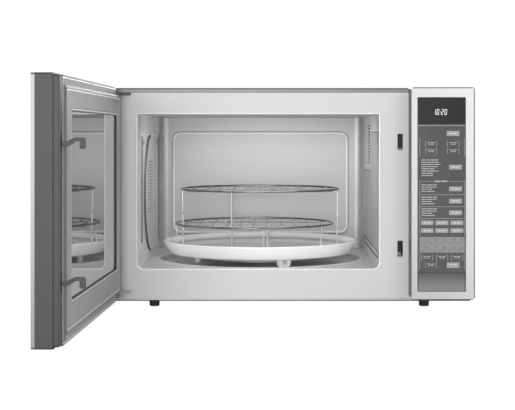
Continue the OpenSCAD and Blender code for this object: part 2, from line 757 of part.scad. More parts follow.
outer_case();
base_pan();
rear_panel();
feet();
front_rails();
front_stiles();
front_bridges();
cavity_ceiling();
cavity_left_wall();
cavity_right_wall();
cavity_back_wall();
cavity_floor();
waveguide_cover();
waveguide();
magnetron();
convection_housing();
convection_heater();
convection_motor();
convection_fan();
hinge_upper();
hinge_lower();
control_bezel();
control_glass();
display_module();
control_board();
open_button();
button_spring();
open_lever();
latch_body();
interlock_switches();
hv_transformer();
hv_capacitor();
hv_diode();
fan_motor();
cooling_fan();
fan_shroud();
filter_board();
oven_lamp();
turntable_motor();
thermal_cutouts();
cord_gland();
case_screws();
door_skin();
door_front_glass();
door_frame();
door_screen();
door_inner_panel();
door_inner_glass();
hinge_bushes();
latch_arm();
latch_spring();
drive_coupler();
tray();
roller_ring();
roller_1();
roller_2();
roller_3();
low_rack();
high_rack();
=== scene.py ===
import math

import bmesh
import bpy
from mathutils import Matrix, Vector
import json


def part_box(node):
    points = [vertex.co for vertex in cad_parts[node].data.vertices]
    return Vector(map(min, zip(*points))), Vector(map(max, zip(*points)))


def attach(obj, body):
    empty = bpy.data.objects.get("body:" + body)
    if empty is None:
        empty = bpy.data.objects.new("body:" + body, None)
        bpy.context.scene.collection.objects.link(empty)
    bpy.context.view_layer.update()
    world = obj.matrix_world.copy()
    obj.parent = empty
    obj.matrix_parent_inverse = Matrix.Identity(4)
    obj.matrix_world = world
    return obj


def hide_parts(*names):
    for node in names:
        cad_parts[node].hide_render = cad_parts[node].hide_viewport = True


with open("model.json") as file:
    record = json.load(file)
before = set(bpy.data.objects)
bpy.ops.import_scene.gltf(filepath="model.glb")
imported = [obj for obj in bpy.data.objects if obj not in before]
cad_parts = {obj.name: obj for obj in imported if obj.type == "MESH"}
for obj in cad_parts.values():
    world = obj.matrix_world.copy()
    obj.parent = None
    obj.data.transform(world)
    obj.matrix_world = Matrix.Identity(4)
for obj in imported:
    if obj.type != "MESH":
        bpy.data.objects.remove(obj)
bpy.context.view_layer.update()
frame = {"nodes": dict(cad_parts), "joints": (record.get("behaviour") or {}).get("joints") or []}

# Measures are millimetres in the cabinet's own terms: x across from the cabinet's middle, y back
# from the front flange, z up from the foot soles. The door is drawn shut and swung open.
flange_low, flange_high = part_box("front_stiles")
CABINET = (Matrix.Translation(((flange_low.x + flange_high.x) / 2, flange_low.y, 0))
           @ Matrix.Scale(0.001, 4))
hinge = next(joint for joint in frame["joints"] if joint["name"] == "door_hinge")
hinge_place = Matrix.Translation((hinge["pos_m"][0], hinge["pos_m"][1], 0))
SWUNG = (hinge_place @ Matrix.Rotation(math.radians(hinge["range_deg"][0]), 4, "Z")
         @ hinge_place.inverted() @ CABINET)


def millimetres(node):
    """A cabinet node's lowest and highest corners, in the cabinet's own millimetres."""
    low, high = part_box(node)
    back = CABINET.inverted()
    return back @ low, back @ high


cavity_low, cavity_high = millimetres("cavity_back_wall")
LEFT, RIGHT = cavity_low.x, cavity_high.x
FLOOR, CEILING = cavity_low.z, cavity_high.z
BACK = cavity_low.y
tray_low, tray_high = millimetres("tray")
SPIN_X, SPIN_Y = (tray_low.x + tray_high.x) / 2, (tray_low.y + tray_high.y) / 2
glass_low, glass_high = millimetres("control_glass")
GLASS_L = glass_low.x
GLASS_T, GLASS_Y = glass_high.z, glass_low.y
button_low, button_high = millimetres("open_button")
HINGE_X = (CABINET.inverted() @ Vector(hinge["pos_m"])).x
HINGE_Y = (CABINET.inverted() @ Vector(hinge["pos_m"])).y
HOOK_X = HINGE_X + 495.6
HOOK_Z = 279.2
HOOK_PITCH = 184
WINDOW = (LEFT - 1.5, RIGHT - 18, FLOOR + 5, CEILING - 2.5)


# ---- Shapes ----

def rounded(x0, x1, z0, z1, radii, steps=6):
    """Outline of a rectangle with rounded corners, from its lower left corner round."""
    if not isinstance(radii, tuple):
        radii = (radii,) * 4
    points = []
    corners = [(x0, z0, 1, 1, 180), (x1, z0, -1, 1, 270), (x1, z1, -1, -1, 0), (x0, z1, 1, -1, 90)]
    for (x, z, right, up, start), r in zip(corners, radii):
        for step in range(steps + 1):
            turn = math.radians(start + 90 * step / steps)
            points.append((x + right * r + r * math.cos(turn), z + up * r + r * math.sin(turn)))
    return points


def circle(x, z, r, sides=48):
    return [(x + r * math.cos(2 * math.pi * k / sides), z + r * math.sin(2 * math.pi * k / sides))
            for k in range(sides)]


def grown(x0, x1, z0, z1, radii, by, steps=6):
    """A rounded rectangle with its border moved outwards."""
    if not isinstance(radii, tuple):
        radii = (radii,) * 4
    return rounded(x0 - by, x1 + by, z0 - by, z1 + by, tuple(max(r + by, 0.05) for r in radii), steps)


def facing(outline, y):
    """An outline of x and z as points at one depth."""
    return [(x, y, z) for x, z in outline]


def merged(*meshes):
    whole = bmesh.new()
    for mesh in meshes:
        data = bpy.data.meshes.new("part")
        mesh.to_mesh(data)
        whole.from_mesh(data)
        bpy.data.meshes.remove(data)
        mesh.free()
    return whole


def terraces(loops, close=False, cap_first=False, cap_last=False):
    """A surface through a row of outlines that all have as many points."""
    mesh = bmesh.new()
    rings = [[mesh.verts.new(point) for point in loop] for loop in loops]
    pairs = list(zip(rings, rings[1:])) + ([(rings[-1], rings[0])] if close else [])
    for here, there in pairs:
        for k in range(len(here)):
            mesh.faces.new((here[k], here[k - 1], there[k - 1], there[k]))
    if cap_first:
        mesh.faces.new(rings[0])
    if cap_last:
        mesh.faces.new(rings[-1][::-1])
    bmesh.ops.recalc_face_normals(mesh, faces=mesh.faces)
    return mesh


def stamped(steps, thickness, toward=1):
    """Sheet metal pressed to a row of (outline, depth) steps, the last one flat across."""
    front = [facing(outline, depth) for outline, depth in steps]
    back = [facing(outline, depth + toward * thickness) for outline, depth in steps]
    mesh = terraces(front[::-1] + back, cap_first=True, cap_last=True)
    return mesh


AXES = {"x": Matrix(((0, 0, 1, 0), (1, 0, 0, 0), (0, 1, 0, 0), (0, 0, 0, 1))),
        "y": Matrix(((1, 0, 0, 0), (0, 0, 1, 0), (0, 1, 0, 0), (0, 0, 0, 1))),
        "z": Matrix.Identity(4)}


def from_curve(curve):
    """The mesh of a curve's filled or bevelled shape."""
    holder = bpy.data.objects.new("curve", curve)
    bpy.context.scene.collection.objects.link(holder)
    graph = bpy.context.evaluated_depsgraph_get()
    data = bpy.data.meshes.new_from_object(holder.evaluated_get(graph))
    mesh = bmesh.new()
    mesh.from_mesh(data)
    bpy.data.objects.remove(holder)
    bpy.data.curves.remove(curve)
    bpy.data.meshes.remove(data)
    bmesh.ops.remove_doubles(mesh, verts=mesh.verts, dist=0.002)
    bmesh.ops.recalc_face_normals(mesh, faces=mesh.faces)
    return mesh


def plate(axis, low, high, outlines, edge=0.3):
    """A flat plate along an axis. The first outline is its border, and the others are holes."""
    curve = bpy.data.curves.new("plate", "CURVE")
    curve.dimensions = "2D"
    curve.fill_mode = "BOTH"
    curve.extrude = (high - low) / 2 - edge
    curve.bevel_depth = edge
    curve.bevel_resolution = 1
    curve.offset = -edge
    for outline in outlines:
        line = curve.splines.new("POLY")
        line.points.add(len(outline) - 1)
        for point, (u, v) in zip(line.points, outline):
            point.co = (u, v, 0, 1)
        line.use_cyclic_u = True
    mesh = from_curve(curve)
    mesh.transform(AXES[axis] @ Matrix.Translation((0, 0, (low + high) / 2)))
    bmesh.ops.recalc_face_normals(mesh, faces=mesh.faces)
    return mesh


def wire(points, radius, close=False, sides=4):
    """Round wire along a row of points."""
    curve = bpy.data.curves.new("wire", "CURVE")
    curve.dimensions = "3D"
    curve.bevel_depth = radius
    curve.bevel_resolution = sides
    curve.use_fill_caps = not close
    line = curve.splines.new("POLY")
    line.points.add(len(points) - 1)
    for point, place in zip(line.points, points):
        point.co = (*place, 1)
    line.use_cyclic_u = close
    return from_curve(curve)


def bent(points, radius, steps=5):
    """A row of points with its corners rounded off."""
    path = [Vector(points[0])]
    for before, corner, after in zip(points, points[1:], points[2:]):
        corner = Vector(corner)
        start = (Vector(before) - corner).normalized() * radius + corner
        end = (Vector(after) - corner).normalized() * radius + corner
        for step in range(steps + 1):
            t = step / steps
            path.append(start * (1 - t) ** 2 + corner * 2 * t * (1 - t) + end * t ** 2)
    return path + [Vector(points[-1])]


def lathe(profile, x=0, y=0, z=0, axis="z", steps=72):
    """A closed profile of (radius, height) turned about an axis."""
    mesh = bmesh.new()
    rings = []
    for k in range(steps):
        turn = 2 * math.pi * k / steps
        rings.append([mesh.verts.new((r * math.cos(turn), r * math.sin(turn), h)) for r, h in profile])
    for k in range(steps):
        for n in range(len(profile)):
            mesh.faces.new((rings[k - 1][n - 1], rings[k][n - 1], rings[k][n], rings[k - 1][n]))
    bmesh.ops.remove_doubles(mesh, verts=mesh.verts, dist=0.001)
    bmesh.ops.dissolve_degenerate(mesh, edges=mesh.edges, dist=0.0005)
    bmesh.ops.recalc_face_normals(mesh, faces=mesh.faces)
    mesh.transform(Matrix.Translation((x, y, z)) @ AXES[axis])
    return mesh


def block(x, y, z, edge=0.0, segments=2):
    """A block between two corners with its edges rounded."""
    mesh = bmesh.new()
    bmesh.ops.create_cube(mesh, size=1)
    for vert in mesh.verts:
        vert.co = [low + (high - low) * (place + 0.5)
                   for place, (low, high) in zip(vert.co, (x, y, z))]
    if edge:
        bmesh.ops.bevel(mesh, geom=mesh.edges[:], offset=edge, segments=segments, affect="EDGES",
                        profile=0.5)
    return mesh


def cut(mesh, *cutters):
    """A mesh with the cutters taken out of it."""
    holders = []
    for part in (mesh, merged(*cutters)):
        data = bpy.data.meshes.new("part")
        part.to_mesh(data)
        part.free()
        holders.append(bpy.data.objects.new("part", data))
        bpy.context.scene.collection.objects.link(holders[-1])
    saw = holders[0].modifiers.new("saw", "BOOLEAN")
    saw.operation = "DIFFERENCE"
    saw.solver = "EXACT"
    saw.object = holders[1]
    graph = bpy.context.evaluated_depsgraph_get()
    result = bmesh.new()
    result.from_mesh(holders[0].evaluated_get(graph).to_mesh())
    for holder in holders:
        data = holder.data
        bpy.data.objects.remove(holder)
        bpy.data.meshes.remove(data)
    return result


def piece(name, mesh, body, finish, stands_for=(), frame_of=CABINET, limit=35):
    """Turns a mesh in millimetres into a finished piece that rides on a body."""
    data = bpy.data.meshes.new(name)
    mesh.transform(frame_of)
    mesh.to_mesh(data)
    mesh.free()
    data.polygons.foreach_set("use_smooth", [True] * len(data.polygons))
    data.set_sharp_from_angle(angle=math.radians(limit))
    data.materials.append(finish.material)
    made = bpy.data.objects.new(name, data)
    bpy.context.scene.collection.objects.link(made)
    even = made.modifiers.new("even_shading", "WEIGHTED_NORMAL")
    even.keep_sharp = True
    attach(made, body)
    if stands_for:
        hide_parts(*stands_for)
    return made


def refinish(node, finish, edge=0.4):
    """A CAD node keeps its shape, with softened edges and a finish of its own."""
    kept = frame["nodes"][node]
    kept.data.materials.clear()
    kept.data.materials.append(finish.material)
    kept.data.polygons.foreach_set("use_smooth", [True] * len(kept.data.polygons))
    joined = kept.modifiers.new("joined", "WELD")
    joined.merge_threshold = 0.00001
    if edge:
        soft = kept.modifiers.new("soft_edges", "BEVEL")
        soft.width = edge / 1000
        soft.segments = 2
        soft.limit_method = "ANGLE"
        soft.angle_limit = math.radians(40)
        soft.use_clamp_overlap = True
        soft.harden_normals = False
    else:
        crisp = kept.modifiers.new("crisp_edges", "EDGE_SPLIT")
        crisp.split_angle = math.radians(35)
    even = kept.modifiers.new("even_shading", "WEIGHTED_NORMAL")
    even.keep_sharp = False
    return kept


# ---- Finishes ----

class Signal:
    """A value or colour that varies over a surface. Arithmetic on it adds Math nodes."""

    def __init__(self, finish, socket):
        self.finish = finish
        self.socket = socket

    def maths(self, operation, first, second):
        return self.finish.node("ShaderNodeMath", {"operation": operation}, {0: first, 1: second})

    def __add__(self, other):
        return self.maths("ADD", self, other)

    def __mul__(self, other):
        return self.maths("MULTIPLY", self, other)

    def __sub__(self, other):
        return self.maths("SUBTRACT", self, other)

    def __rsub__(self, other):
        return self.maths("SUBTRACT", other, self)

    def __truediv__(self, other):
        return self.maths("DIVIDE", self, other)

    __radd__ = __add__
    __rmul__ = __mul__

    def above(self, level, width):
        """0 below a level and 1 above it, over a soft step."""
        return self.finish.node("ShaderNodeMapRange", {"interpolation_type": "SMOOTHSTEP"},
                                {"Value": self, "From Min": level - width, "From Max": level + width})


class Finish:
    """A procedural material. Constants go on the shader's own sockets."""

    def __init__(self, name, colour, roughness, metallic=0.0, **constants):
        self.material = bpy.data.materials.new(name)
        self.material.use_nodes = True
        self.tree = self.material.node_tree
        self.shader = self.tree.nodes["Principled BSDF"]
        self.colour = (colour, colour, colour, 1) if isinstance(colour, float) else (*colour, 1)
        self.roughness = roughness
        self.set("Base Color", self.colour)
        self.set("Roughness", roughness)
        self.set("Metallic", metallic)
        for socket, value in constants.items():
            self.set(socket.replace("_", " "), value)
        self.material.diffuse_color = self.colour

    def feed(self, socket, value):
        if isinstance(value, Signal):
            self.tree.links.new(value.socket, socket)
        else:
            socket.default_value = value

    def set(self, socket, value):
        self.feed(self.shader.inputs[socket], value)

    def node(self, kind, settings=None, inputs=None, output=0):
        made = self.tree.nodes.new(kind)
        for setting, value in (settings or {}).items():
            if setting == "stops":
                for stop, (place, shade) in zip(made.color_ramp.elements, value):
                    stop.position = place
                    stop.color = (shade, shade, shade, 1)
            else:
                setattr(made, setting, value)
        for socket, value in (inputs or {}).items():
            self.feed(made.inputs[socket], value)
        return Signal(self, made.outputs[output])

    def place(self, stretch=(1, 1, 1)):
        """Where a point lies on the piece, in millimetres stretched along each axis."""
        spot = self.node("ShaderNodeTexCoord", output=3)
        return self.node("ShaderNodeVectorMath", {"operation": "MULTIPLY"},
                         {0: spot, 1: tuple(1000 * s for s in stretch)})

    def grain(self, size, stretch=(1, 1, 1), detail=2.0):
        """Noise with features of a size in millimetres."""
        return self.node("ShaderNodeTexNoise", None,
                         {"Vector": self.place(stretch), "Scale": 1 / size, "Detail": detail})

    def tint(self, mask, low, high):
        """The base colour times a share between low and high, after a mask."""
        dark = tuple(min(1, part * low) for part in self.colour[:3]) + (1,)
        light = tuple(min(1, part * high) for part in self.colour[:3]) + (1,)
        mixed = self.node("ShaderNodeMix", {"data_type": "RGBA"}, {0: mask, 6: dark, 7: light}, 2)
        self.set("Base Color", mixed)
        return self

    def rough(self, mask, spread):
        self.set("Roughness", mask * (2 * spread) + (self.roughness - spread))
        return self

    def bump(self, height, depth, strength=0.5):
        """Relief, its depth in millimetres."""
        self.set("Normal", self.node("ShaderNodeBump", None, {
            "Height": height, "Distance": depth / 1000, "Strength": strength}))
        return self


def brushed(name, colour, roughness, along, metallic=1.0, depth=0.02, **constants):
    """Sheet steel with fine brush lines along one axis."""
    made = Finish(name, colour, roughness, metallic, **constants)
    squeeze = {"x": (0.012, 1, 1), "y": (1, 0.012, 1), "z": (1, 1, 0.012)}[along]
    lines = made.grain(0.7, squeeze, 3.0)
    drift = made.grain(90)
    return (made.tint(lines * 0.7 + drift * 0.3, 0.9, 1.08).rough(lines, 0.06)
            .bump(lines, depth, 0.35))


def satin(name, colour, roughness, metallic=0.0, depth=0.03, grain=1.2, **constants):
    """Painted or coated sheet: a faint orange peel and slow changes of tone."""
    made = Finish(name, colour, roughness, metallic, **constants)
    peel = made.grain(grain, detail=3.0)
    drift = made.grain(120)
    return made.tint(drift, 0.95, 1.04).rough(drift, 0.04).bump(peel, depth, 0.3)


def moulded(name, colour, roughness, depth=0.05, **constants):
    """Moulded plastic with a fine etched texture and slight flow marks."""
    made = Finish(name, colour, roughness, **constants)
    texture = made.grain(0.6, detail=4.0)
    flow = made.grain(45, (1, 1, 0.4))
    return (made.tint(flow * 0.6 + texture * 0.4, 0.88, 1.1).rough(texture, 0.08)
            .bump(texture, depth, 0.4))


def polished(name, colour, roughness, metallic=0.0, smear=0.04, **constants):
    """Glass, glaze or plating: nearly even, with a faint bloom on it."""
    made = Finish(name, colour, roughness, metallic, **constants)
    bloom = made.grain(35, detail=4.0)
    return made.tint(bloom, 0.96, 1.04).rough(bloom.above(0.5, 0.2), smear)


CASE = satin("case_paint", 0.2, 0.4, 0.35, Coat_Weight=0.15, Coat_Roughness=0.3)
STAINLESS = brushed("brushed_stainless", 0.46, 0.42, "x", metallic=0.8)
# Painted shade: the door skin is painted darker over its front 2.2 mm in depth than on its turned-back edges
# behind.
rim = STAINLESS.node("ShaderNodeSeparateXYZ", None, {0: STAINLESS.place()}, 1)
STAINLESS.tint((rim - (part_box("door_skin")[0].y * 1000 + 2.2)).above(0, 0.7) * 0.8
               + STAINLESS.grain(0.7, (0.012, 1, 1), 3.0) * 0.2, 0.5, 1.08)
FLANGE = brushed("flange_steel", 0.68, 0.55, "x", metallic=0.3, depth=0.008)
# Painted shadow: the flange is painted darker over about 15 mm beside the hinge, where the door's shadow
# falls.
across = FLANGE.node("ShaderNodeSeparateXYZ", None, {0: FLANGE.place()}, 0)
hinge_side = (CABINET @ Vector((HINGE_X + 17, 0, 0))).x * 1000
painted_door_shadow = (across - hinge_side).above(0, 15)
FLANGE.tint(painted_door_shadow * 0.8 + FLANGE.grain(0.7, (0.012, 1, 1), 3.0) * 0.2, 0.34, 1.07)
LIP = satin("rolled_lip", 0.95, 0.4, 0.3)
LINER = brushed("cavity_liner", 0.88, 0.45, "z", metallic=0.5, depth=0.01)
# Painted shade: the side walls are painted darker over their last 20 mm or so into the back corner coves, and
# a little lighter towards the front.
depth_in = LINER.node("ShaderNodeSeparateXYZ", None, {0: LINER.place()}, 1)
LINER.tint((depth_in - (CABINET @ Vector((0, BACK - 20, 0))).y * 1000).above(4, 14) * 0.75
           + LINER.grain(0.7, (1, 1, 0.012), 3.0) * 0.25, 1.08, 0.5)
# Painted light: the cavity's walls are one steel in lit and shaded copies, with the side walls lightest, the
# floor and ceiling darker and the back wall darkest.
LINER_BACK = brushed("cavity_back", 0.44, 0.45, "x", metallic=0.4, depth=0.01)
LINER_TOP = brushed("cavity_top", 0.7, 0.45, "x", metallic=0.5, depth=0.01)
LINER_FLOOR = brushed("cavity_floor", 0.75, 0.42, "x", metallic=0.5, depth=0.01)
ZINC = satin("zinc_plate", 0.45, 0.42, 0.8, grain=6.0)
DARK = moulded("dark_moulding", 0.056, 0.5)
HOOK = moulded("hook_moulding", 0.042, 0.5)
BLACK = moulded("black_moulding", 0.022, 0.5)
RUBBER = moulded("foot_rubber", 0.045, 0.7, 0.08)
GREY = moulded("grey_moulding", 0.2, 0.4)
WHITE = moulded("white_moulding", 0.72, 0.45, 0.03)
# Painted shade and glow: the tray's upward faces are painted darker than its other faces, and its sloping and
# upright faces glow faintly though they are no lamp.
GLAZE = polished("white_glaze", 0.86, 0.16, smear=0.05, Coat_Weight=0.5, Coat_Roughness=0.06,
                 Emission_Strength=0.16)
up = GLAZE.node("ShaderNodeSeparateXYZ", None, {0: GLAZE.node("ShaderNodeNewGeometry", output=1)}, 2)
GLAZE.tint(up.above(0.9, 0.07) + GLAZE.grain(35) * 0.05, 1.15, 0.5)
level = GLAZE.node("ShaderNodeMath", {"operation": "ABSOLUTE"}, {0: up}).above(0.8, 0.1)
GLAZE.set("Emission Color", GLAZE.node("ShaderNodeMix", {"data_type": "RGBA"}, {
    0: level, 6: (1, 1, 1, 1), 7: (0, 0, 0, 1)}, 2))
# Painted light: the roller treads glow faintly, though they are no lamp.
ROLLER = moulded("roller_plastic", 0.88, 0.4, 0.02, Emission_Color=(1, 1, 1, 1),
                 Emission_Strength=0.14)
# Painted light: the rack legs and grid are one wire, with a lit copy of the chrome for the legs and a darker
# copy for the grid.
CHROME = polished("chrome_wire", 0.3, 0.2, 1.0, smear=0.05)
LIT_LEG_CHROME = polished("lit_leg_wire", 0.78, 0.25, 0.6, smear=0.05)
SPRING = polished("spring_steel", 0.5, 0.3, 1.0, smear=0.06)
# Painted shade: a dark copy of the steel for ribs, beads, door folds, the feed cover's rim and the upper
# hinge, standing in for the shade along them.
SHADED_STEEL = satin("painted_shade_steel", 0.13, 0.5, 0.4)
# Painted highlight: a near-white finish for bright strips on the back wall's emboss, the floor well's edge
# and the door panel's folds.
PAINTED_HIGHLIGHT = polished("painted_highlight", 0.95, 0.45, 0.1)
MICA = satin("mica_sheet", 0.6, 0.5, 0.2, grain=4.0, depth=0.05)
SHEATH = satin("heater_sheath", 0.14, 0.5, 0.6, grain=2.0)
BOARD = satin("circuit_board", (0.05, 0.12, 0.06), 0.4, grain=3.0)
PANEL_GLASS = polished("panel_glass", 0.115, 0.12, smear=0.04, Specular_IOR_Level=0.4)
FRONT_GLASS = polished("front_glass", 0.012, 0.05, smear=0.03)
INNER_GLASS = polished("inner_glass", 0.05, 0.025, smear=0.015, IOR=1.85, Coat_Weight=1.0,
                       Coat_Roughness=0.02, Coat_IOR=1.7)
DOOR_STEEL = brushed("door_liner", 0.4, 0.55, "z", metallic=0.2, depth=0.01,
                     Specular_IOR_Level=0.25)
# Painted shade: the door liner is painted darker towards its top and its free edge.
height = DOOR_STEEL.node("ShaderNodeSeparateXYZ", None, {0: DOOR_STEEL.place()}, 2)
reach = DOOR_STEEL.node("ShaderNodeSeparateXYZ", None, {0: DOOR_STEEL.place()}, 1)
free_edge = (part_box("door_inner_panel")[0].y * 1000 + 21 - reach).above(0, 7)
shaded = free_edge.maths("MAXIMUM", free_edge, height.above(350, 22))
DOOR_STEEL.tint(shaded * 0.75 + DOOR_STEEL.grain(0.7, (1, 1, 0.012), 3.0) * 0.25, 1.12, 0.42)
KEY_PRINT = moulded("key_print", 0.4, 0.4, 0.0)
WORD_PRINT = moulded("key_word_print", 0.85, 0.4, 0.0)
LABEL_PRINT = moulded("label_print", 0.58, 0.4, 0.0)
PAD_PRINT = moulded("number_pad_print", 0.3, 0.35, 0.0)
PAD_FIGURES = moulded("number_pad_figures", 0.13, 0.35, 0.0)
DARK_PRINT = moulded("display_print", 0.022, 0.3, 0.0, Specular_IOR_Level=0.2)
GLOW = Finish("display_glow", 0.8, 0.4, Emission_Color=(1, 1, 1, 1), Emission_Strength=0.85)
GLOW.tint(GLOW.grain(1.5), 0.9, 1.1)
BUTTON = moulded("button_moulding", 0.22, 0.35, 0.02)

# Painted shade: the button is painted dark over its left and right 1.3 mm, for the shade in the gaps beside
# it, and darker towards its top.
button_span = (button_high.z - button_low.z) / 1000
shade = BUTTON.node("ShaderNodeSeparateXYZ", None, {0: BUTTON.node("ShaderNodeTexCoord", output=3)}, 2)
sideways = BUTTON.node("ShaderNodeSeparateXYZ", None, {0: BUTTON.place()}, 0)
low_x, high_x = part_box("open_button")
button_shade = ((sideways - low_x.x * 1000).above(1.3, 0.5) * (high_x.x * 1000 - sideways).above(1.3, 0.5)
        * (1.25 - (shade - button_low.z / 1000) / button_span))
BUTTON.tint(button_shade, 0.1, 1.1)

# The bezel is a drawn cap. Painted shade: its rolled outer edge is painted dark, and its face is painted
# lighter from left to right.
BEZEL = brushed("bezel_stainless", 0.5, 0.42, "x", metallic=0.8)
bezel_low, bezel_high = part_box("control_bezel")
spot = BEZEL.place()
x_at = BEZEL.node("ShaderNodeSeparateXYZ", None, {0: spot}, 0)
z_at = BEZEL.node("ShaderNodeSeparateXYZ", None, {0: spot}, 2)
face = ((bezel_high.x * 1000 - x_at).above(1.7, 0.6) * (bezel_high.z * 1000 - z_at).above(1.7, 0.6)
        * (x_at - bezel_low.x * 1000).above(0.9, 0.4) * (z_at - bezel_low.z * 1000).above(1.0, 0.4))
BEZEL.tint(face * (0.72 + 0.28 * ((x_at - bezel_low.x * 1000) / 107)), 0.22, 1.2)

# The perforated screen behind the door's front glass
SCREEN = Finish("perforated_screen", 0.05, 0.5, 0.6)
pitch = SCREEN.node("ShaderNodeTexVoronoi", {"feature": "F1"},
                    {"Vector": SCREEN.place(), "Scale": 0.55, "Randomness": 0.0})
SCREEN.tint(pitch.above(0.32, 0.03), 0.15, 2.2)

# ---- Studio ----

stage = bpy.data.meshes.new("studio_floor")
stage.from_pydata([(-9, -6, 0), (9, -6, 0), (9, 14, 0), (-9, 14, 0)], [], [(0, 1, 2, 3)])
studio_floor = bpy.data.objects.new("studio_floor", stage)
bpy.context.scene.collection.objects.link(studio_floor)
PAPER = Finish("studio_paper", 0.7, 0.9)
PAPER.tint(PAPER.grain(900), 0.98, 1.02)
sheen = PAPER.node("ShaderNodeEmission", None, {"Color": (1, 1, 1, 1), "Strength": 1.0})
seen = PAPER.node("ShaderNodeLightPath")
paper = PAPER.node("ShaderNodeMixShader", None, {
    0: seen, 1: Signal(PAPER, PAPER.shader.outputs[0]), 2: sheen})
PAPER.feed(PAPER.tree.nodes["Material Output"].inputs["Surface"], paper)
stage.materials.append(PAPER.material)

world = bpy.data.worlds.new("studio")
bpy.context.scene.world = world
world.use_nodes = True
room = world.node_tree.nodes
room["Background"].inputs["Color"].default_value = (1, 1, 1, 1)
direct = room.new("ShaderNodeLightPath")
level = room.new("ShaderNodeMapRange")
level.inputs["To Min"].default_value = 0.3
world.node_tree.links.new(direct.outputs["Is Camera Ray"], level.inputs["Value"])
world.node_tree.links.new(level.outputs[0], room["Background"].inputs["Strength"])


def softbox(name, place, aim, width, height, power):
    data = bpy.data.lights.new(name, "AREA")
    data.shape = "RECTANGLE"
    data.size, data.size_y = width, height
    data.energy = power
    lamp = bpy.data.objects.new(name, data)
    lamp.location = place
    lamp.visible_camera = False
    lamp.rotation_euler = (Vector(aim) - Vector(place)).to_track_quat("-Z", "Y").to_euler()
    bpy.context.scene.collection.objects.link(lamp)


softbox("key_softbox", (-0.5, -3.2, 0.45), (0, 0, 0.2), 1.8, 0.9, 46)
softbox("fill_softbox", (1.6, -2.8, 1.3), (0, 0, 0.2), 1.2, 1.2, 14)
softbox("top_softbox", (0, 0.4, 2.4), (0, 0.2, 0), 1.6, 1.2, 16)
softbox("left_softbox", (-2.6, 0.9, 0.9), (0, 0.2, 0.2), 1.2, 1.2, 12)
softbox("right_softbox", (2.6, 0.9, 0.9), (0, 0.2, 0.2), 1.2, 1.2, 22)
softbox("back_softbox", (0.4, 3.2, 1.1), (0, 0.2, 0.2), 1.6, 1.2, 50)
inside = CABINET @ Vector((SPIN_X, 60, CEILING - 6))
softbox("cavity_softbox", inside, inside + Vector((0, 0.3, -0.42)), 0.3, 0.05, 0.5)

lens = bpy.data.cameras.new("camera")
lens.sensor_width = 36
lens.lens = 89.13
lens.shift_x = -0.0421
lens.shift_y = -0.135
camera = bpy.data.objects.new("camera", lens)
camera.location = CABINET @ Vector((-17.5, -2195.6, 297))
camera.rotation_euler = (math.radians(90), 0, 0)
bpy.context.scene.collection.objects.link(camera)
bpy.context.scene.camera = camera
bpy.context.scene.view_settings.view_transform = "Standard"

# ---- Cabinet ----

refinish("outer_case", CASE, 0.6)
refinish("base_pan", ZINC, 0.3)
refinish("rear_panel", ZINC, 0)

EDGE_X, EDGE_B, EDGE_T = 309.75, 16.3, 370.8
MOUTH = (LEFT, RIGHT, FLOOR, CEILING, (9.5, 9.5, 1.5, 1.5))
slots = [rounded(HOOK_X - 4.5, HOOK_X + 4.5, z, z + 27.6, 0.6) for z in (272.2, 88.2)]
flange = plate("y", 0, 1.2, [
    rounded(-EDGE_X, EDGE_X, EDGE_B, EDGE_T, 1.2),
    grown(*MOUTH, 2.4),
    *slots,
    rounded(HINGE_X - 4.8, HINGE_X + 32.3, 366.2, 370, 0.5),
    rounded(HINGE_X - 4.8, HINGE_X + 32.3, 24.9, 29.8, 0.5),
    rounded(242, 272, 40, 62, 2),
    rounded(236, 278, 120, 300, 2)], 0.25)
roll = [(2.5, 0.1), (2, -0.25), (1.2, -0.45), (0.4, -0.2), (0, 0.5), (0, 5),
        (0.7, 5), (0.7, 1.25), (2.5, 1.15)]
lip = terraces([facing(grown(*MOUTH, out), y) for out, y in roll], close=True)
piece("front_flange", flange, "cabinet", FLANGE,
      ["front_rails", "front_stiles", "front_bridges"])
piece("mouth_lip", lip, "cabinet", LIP)
for place, spots in (("upper", 272.2), ("lower", 88.2)):
    shelf = block((HOOK_X - 4.4, HOOK_X + 4.4), (1.4, 9), (spots + 0.6, spots + 3.4), 0.3)
    piece(place + "_slot_shelf", shelf, "cabinet", GREY)

# Painted shade: dark strips along the case's top front edge and under the flange's lower edge stand in for
# the shade there.
shade_strips = merged(block((-311.5, 204.5), (-0.25, 0.6), (376.6, 378.6), 0.2),
              block((-309, 311), (-0.25, 0.8), (12.2, 13.9), 0.2))
piece("case_shade_strips", shade_strips, "cabinet", DARK)

for x in (-235, 235):
    for y in (30, 415):
        name = "foot_" + ("left" if x < 0 else "right") + ("_front" if y < 100 else "_back")
        foot = lathe([(0, 0), (7.4, 0), (8.3, 0.5), (8.7, 1.6), (8.9, 4), (8.4, 4.4), (8.4, 5.2),
                      (9, 5.6), (9.2, 9), (8.7, 9.4), (8.7, 10.2), (9.3, 10.6), (9.4, 13), (0, 13)],
                     x, y, steps=40)
        piece(name, foot, "cabinet", RUBBER, ["feet"])

screw_spots = [(-300, 30), (-300, 360), (300, 30), (300, 360), (0, 364), (-150, 24), (150, 24)]
screws = []
for x, z in screw_spots:
    head = lathe([(0, 2.35), (1.6, 2.3), (3, 1.9), (3.8, 1.1), (4, 0.3), (4, 0), (1.9, 0),
                  (1.7, -6), (0, -6)], steps=28)
    head = cut(head, block((-2.2, 2.2), (-0.45, 0.45), (1.1, 4)))
    head = cut(head, block((-0.45, 0.45), (-2.2, 2.2), (1.1, 4)))
    head.transform(Matrix.Translation((x, 456, z)) @ AXES["y"])
    bmesh.ops.recalc_face_normals(head, faces=head.faces)
    screws.append(head)
piece("case_screw_heads", merged(*screws), "cabinet", SPRING, ["case_screws"])
refinish("cord_gland", BLACK, 0.8)

# ---- Cavity liner ----


